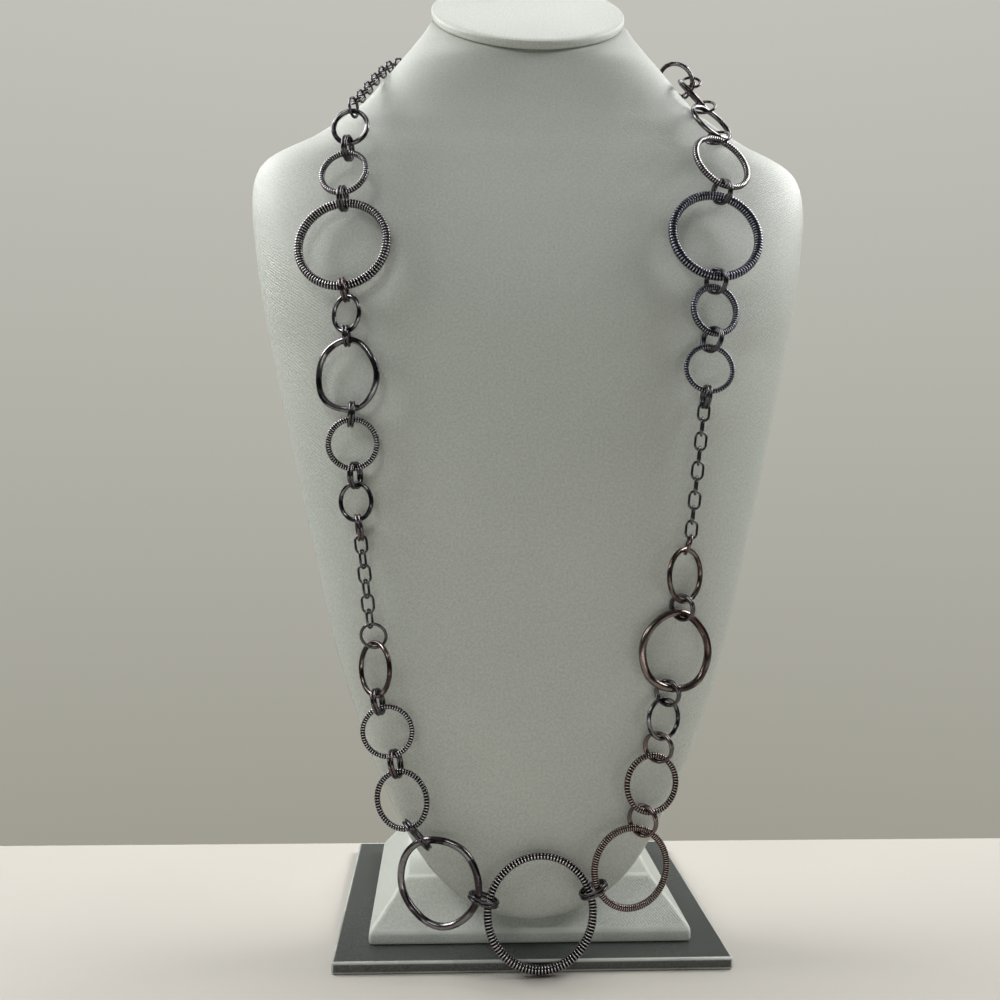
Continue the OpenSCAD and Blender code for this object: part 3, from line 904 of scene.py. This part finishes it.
link_sides = 12
link_raised = 0.72
link_copper = 0.15
arc_steps = 14


def chain_links(route, turn):
    """Every link of a chain: its middle, its direction and its side."""
    points = np.array(route, float)
    at = np.concatenate([[0], np.cumsum(np.linalg.norm(np.diff(points, axis=0), axis=1))])
    count = math.ceil(at[-1] / link_pitch) + 1
    step = at[-1] / (count - 1)

    def along(s):
        return np.array([np.interp(s, at, points[:, axis]) for axis in range(3)])

    links = []
    for i in range(count):
        d = unit(along(min(at[-1], (i + 0.5) * step)) - along(max(0, (i - 0.5) * step)))
        level = unit(np.cross(d, [0, -1, 0]))
        out = np.cross(level, d)
        a = math.radians(turn[i % 2])
        links.append((along(i * step), d, level * math.cos(a) + out * math.sin(a)))
    return links


def link_wires(link):
    """An oval link: two half turns of wire joined by straight sides."""
    middle, d, side = link
    r = (link_width - link_wire) / 2
    straight = (link_length - link_width) / 2
    centres = []
    outwards = []
    for end in (1, -1):
        for i in range(arc_steps + 1):
            a = math.pi * i / arc_steps
            out = end * (math.cos(a) * side + math.sin(a) * d)
            centres.append(middle + end * straight * d + r * out)
            outwards.append(out)
    centres = np.array(centres)
    radii = np.full((len(centres), link_sides), link_wire / 2)
    across = np.broadcast_to(np.cross(d, side), centres.shape)
    raised = np.full_like(radii, link_raised)
    return centres, np.array(outwards), across, radii, raised, link_copper


for chain, (route, turn) in routes.items():
    links = [link_wires(link) for link in chain_links(route, turn)]
    wire_piece(chain + "_links", links, platings["gunmetal"], "gunmetal", chain)


def jump_to_chain(ring, chain, count, at_end, twist, room, copper):
    """The jump ring, or the pair, that hangs the end of a chain from a main ring."""
    links = chain_links(*routes[chain])
    middle, d, side = links[-1 if at_end else 0]
    tip = middle + d * (1 if at_end else -1) * (link_length - link_wire) / 2
    bar = link_wire / 2 + (count - 1) * pair_room
    return jumps(*jump(rim(ring, tip), (tip, side, bar), twist, room), count, copper)


# Columns: upper ring, lower ring, how many, twist, extra room and copper share.
left_pairs = [
    ("left_ring_1", "left_ring_2", 2, 0, 0, 0.1), ("left_ring_2", "left_ring_3", 2, 0, 0, 0.1),
    ("left_ring_3", "left_ring_4", 2, 20, 0.2, 0.4), ("left_ring_4", "left_ring_5", 2, 30, 0.3, 0.1),
    ("left_ring_5", "left_ring_6", 2, 25, 0.3, 0.1), ("left_ring_6", "left_ring_7", 2, 0, 0, 0.1),
    ("left_ring_8", "left_ring_9", 2, 15, 0.4, 0.2), ("left_ring_9", "left_ring_10", 2, 0, 0, 0.3),
    ("left_ring_10", "left_ring_11", 2, 35, 0.25, 0.1), ("left_ring_11", "centre_ring", 2, 0, 0.05, 0),
]
right_pairs = [
    ("right_ring_2", "right_ring_3", 1, 40, 0.1, 0.5), ("right_ring_3", "right_ring_4", 1, 50, 0.2, 0.3),
    ("right_ring_4", "right_ring_5", 2, 25, 0.1, 0), ("right_ring_5", "right_ring_6", 2, 30, 0.25, 0),
    ("right_ring_6", "right_ring_7", 2, 25, 0.05, 0), ("right_ring_8", "right_ring_9", 2, 20, 0.2, 0.3),
    ("right_ring_9", "right_ring_10", 2, 30, 0.3, 0.2), ("right_ring_10", "right_ring_11", 2, 30, 0.1, 0.9),
    ("right_ring_11", "right_ring_12", 2, 35, 0.05, 1), ("right_ring_12", "centre_ring", 2, 0, 0.05, 0.1),
]


def pairs(rows):
    made = []
    for upper, lower, count, twist, room, copper in rows:
        made += jumps(*jump(*facing_rims(upper, lower), twist, room), count, copper)
    return made


# Two single rings, one linked below the other, join the top two rings of the right side.
in_line_twist = 15
in_line_copper = 0.4
left_wires = pairs(left_pairs)
left_wires += jump_to_chain("left_ring_1", "neck_chain_left", 1, False, 0, 0, 0.1)
left_wires += jump_to_chain("left_ring_7", "front_chain_left", 2, False, 20, 0.2, 0.6)
left_wires += jump_to_chain("left_ring_8", "front_chain_left", 1, True, 20, 0.2, 0.2)
right_wires = pairs(right_pairs)
upper_rim, lower_rim = facing_rims("right_ring_1", "right_ring_2")
halfway = (upper_rim[0] + lower_rim[0]) / 2
upper_half = (halfway, upper_rim[1], 0)
lower_half = (halfway, lower_rim[1], 0)
right_wires += jumps(*jump(upper_rim, upper_half, in_line_twist, 0), 1, in_line_copper)
right_wires += jumps(*jump(lower_half, lower_rim, -in_line_twist, 0), 1, in_line_copper)
right_wires += jump_to_chain("right_ring_1", "neck_chain_right", 1, False, -20, 0.2, 0.2)
right_wires += jump_to_chain("right_ring_7", "front_chain_right", 2, False, 0, 0.1, 0)
right_wires += jump_to_chain("right_ring_8", "front_chain_right", 1, True, 30, 0, 0.5)
jump_plating = plating(
    "jump_ring_plating", (0.036, 0.034, 0.04, 1), (0.15, 0.085, 0.07, 1), (0.5, 0.48, 0.48, 1), 0.5
)
wire_piece("jump_rings_left_wire", left_wires, jump_plating, "gunmetal", "jump_rings_left")
wire_piece("jump_rings_right_wire", right_wires, jump_plating, "copper_metal", "jump_rings_right")

# The clasp: a plain spring ring in the same plated brass, with a small eye soldered to its right.
# It closes the chain behind the neck.
clasp_middle = np.array([0, 52, 439])
clasp_d = 9
clasp_wire = 1.6
clasp_steps = 64
clasp_sides = 16
eye_d = 6
eye_wire = 1.2
eye_steps = 48
eye_sides = 14
clasp_copper = 0.1
clasp_face = np.array([0.0, 1.0, 0.0])
eye_middle = clasp_middle + np.array([clasp_d / 2 + eye_d / 2 - eye_wire, 0, 0])
clasp_wires = round_wires(
    clasp_middle, clasp_face, clasp_d, clasp_wire, 1, 0, clasp_steps, clasp_sides, clasp_copper
)
clasp_wires += round_wires(
    eye_middle, clasp_face, eye_d, eye_wire, 1, 0, eye_steps, eye_sides, clasp_copper
)
wire_piece("clasp_wire", clasp_wires, platings["gunmetal"], "gunmetal", "clasp")

# The table top that the stand is photographed on: a pale painted board, smooth and a little uneven in tone.
# It ends a finger's width behind the plate. Its sizes are in metres.
table = bpy.data.meshes.new("table_top")
table_x = 1.6
table_front = -1.9
table_back = 0.097
table_tone_scale = 6.0
table_corners = [
    (-table_x, table_front, 0),
    (table_x, table_front, 0),
    (table_x, table_back, 0),
    (-table_x, table_back, 0),
]
table.from_pydata(table_corners, [], [(0, 1, 2, 3)])
table_paint = bpy.data.materials.new("table_paint")
table_paint.use_nodes = True
paint_tree = table_paint.node_tree
paint = paint_tree.nodes["Principled BSDF"]
table_place = add_node(paint_tree, "ShaderNodeTexCoord").outputs["Object"]
table_tone = noise(paint_tree, table_place, table_tone_scale)
table_colour = blend_colour(paint_tree, table_tone, (0.49, 0.47, 0.425, 1), (0.45, 0.43, 0.39, 1))
paint_tree.links.new(table_colour, paint.inputs["Base Color"])
paint.inputs["Roughness"].default_value = 0.6
table_top = bpy.data.objects.new("table_top", table)
bpy.context.scene.collection.objects.link(table_top)
table.materials.append(table_paint)

# The light: soft boxes above, behind and high on both sides, which light the shoulders more than the chest,
# and two weak ones in front. The pale room round them gives the rest.
world = bpy.data.worlds.new("room")
bpy.context.scene.world = world
world.use_nodes = True
room = world.node_tree
way = add_node(
    room, "ShaderNodeSeparateXYZ", {0: add_node(room, "ShaderNodeTexCoord").outputs["Generated"]}
).outputs


def glow(axis, sign, power, strength):
    """The light that one side of the room gives: full straight ahead, and none across."""
    ahead = maths(room, "MAXIMUM", maths(room, "MULTIPLY", way[axis], sign), 0.0)
    return maths(room, "MULTIPLY", maths(room, "POWER", ahead, power), strength)


# Columns: axis, side of it, power and strength. The side where the photographer stands is the darkest.
sides_of_room = [(0, -1, 2, 0.1), (0, 1, 2, 0.08), (1, 1, 2, 0.3), (1, -1, 2, 0.02), (2, 1, 2, 0.06)]
room_light = glow(*sides_of_room[0])
for side in sides_of_room[1:]:
    room_light = maths(room, "ADD", room_light, glow(*side))
# The wall that the camera sees is painted lighter high up and darker low down. This is painted falloff of
# the light on it.
wall_falloff_share = add_node(
    room, "ShaderNodeMapRange", {"Value": way[2], "From Min": -0.3, "From Max": 0.45}
).outputs[0]
painted_wall_falloff = blend_colour(room, wall_falloff_share, (0.35, 0.34, 0.29, 1), (0.55, 0.545, 0.5, 1))
seen = add_node(room, "ShaderNodeLightPath").outputs["Is Camera Ray"]
room_colour = blend_colour(room, seen, (1, 0.99, 0.96, 1), painted_wall_falloff)
room_strength = maths(room, "MAXIMUM", room_light, seen)
room.links.new(room_colour, room.nodes["Background"].inputs["Color"])
room.links.new(room_strength, room.nodes["Background"].inputs["Strength"])


def soft_box(name, place, aim, width, depth, power):
    """A rectangular lamp aimed at a point. Places and sizes are in metres, and power is in watts."""
    lamp = bpy.data.lights.new(name, "AREA")
    lamp.shape = "RECTANGLE"
    lamp.size = width
    lamp.size_y = depth
    lamp.energy = power
    holder = bpy.data.objects.new(name, lamp)
    bpy.context.scene.collection.objects.link(holder)
    holder.location = place
    holder.rotation_euler = (Vector(aim) - Vector(place)).to_track_quat("-Z", "Y").to_euler()


soft_box("overhead_box", (-0.05, 0.35, 1.1), (0, 0, 0.2), 1.0, 0.4, 3.6)
soft_box("high_left_box", (-0.75, 0.12, 0.85), (0, -0.02, 0.3), 0.7, 0.5, 12.5)
soft_box("high_right_box", (0.75, 0.12, 0.85), (0, -0.02, 0.3), 0.7, 0.5, 12.5)
soft_box("front_left_box", (-0.35, -0.7, 0.85), (0, -0.05, 0.25), 0.25, 0.25, 1.3)
soft_box("low_front_box", (0, -0.7, 0.06), (0, -0.06, 0.22), 0.9, 0.1, 0.9)

# The camera: half a metre in front, a little left of the middle, at the height of the lower chest.
# It is nearly level, with its lens and its turn worked out from the corners of the base plate.
camera_place = Vector((-0.0402, -0.5504, 0.2087))
yaw = math.radians(2.88)
pitch = math.radians(-0.36)
roll = math.radians(0.48)
forward = Vector((math.sin(yaw) * math.cos(pitch), math.cos(yaw) * math.cos(pitch), math.sin(pitch)))
level_right = Vector((math.cos(yaw), -math.sin(yaw), 0))
level_up = level_right.cross(forward)
right = level_right * math.cos(roll) + level_up * math.sin(roll)
upright = level_up * math.cos(roll) - level_right * math.sin(roll)
lens = bpy.data.cameras.new("photo_camera")
lens.sensor_width = 36
lens.lens = 39.1
lens.clip_start = 0.01
camera = bpy.data.objects.new("photo_camera", lens)
bpy.context.scene.collection.objects.link(camera)
turned = Matrix((right, upright, -forward)).transposed().to_4x4()
camera.matrix_world = Matrix.Translation(camera_place) @ turned
bpy.context.scene.camera = camera
bpy.context.scene.view_settings.view_transform = "Standard"
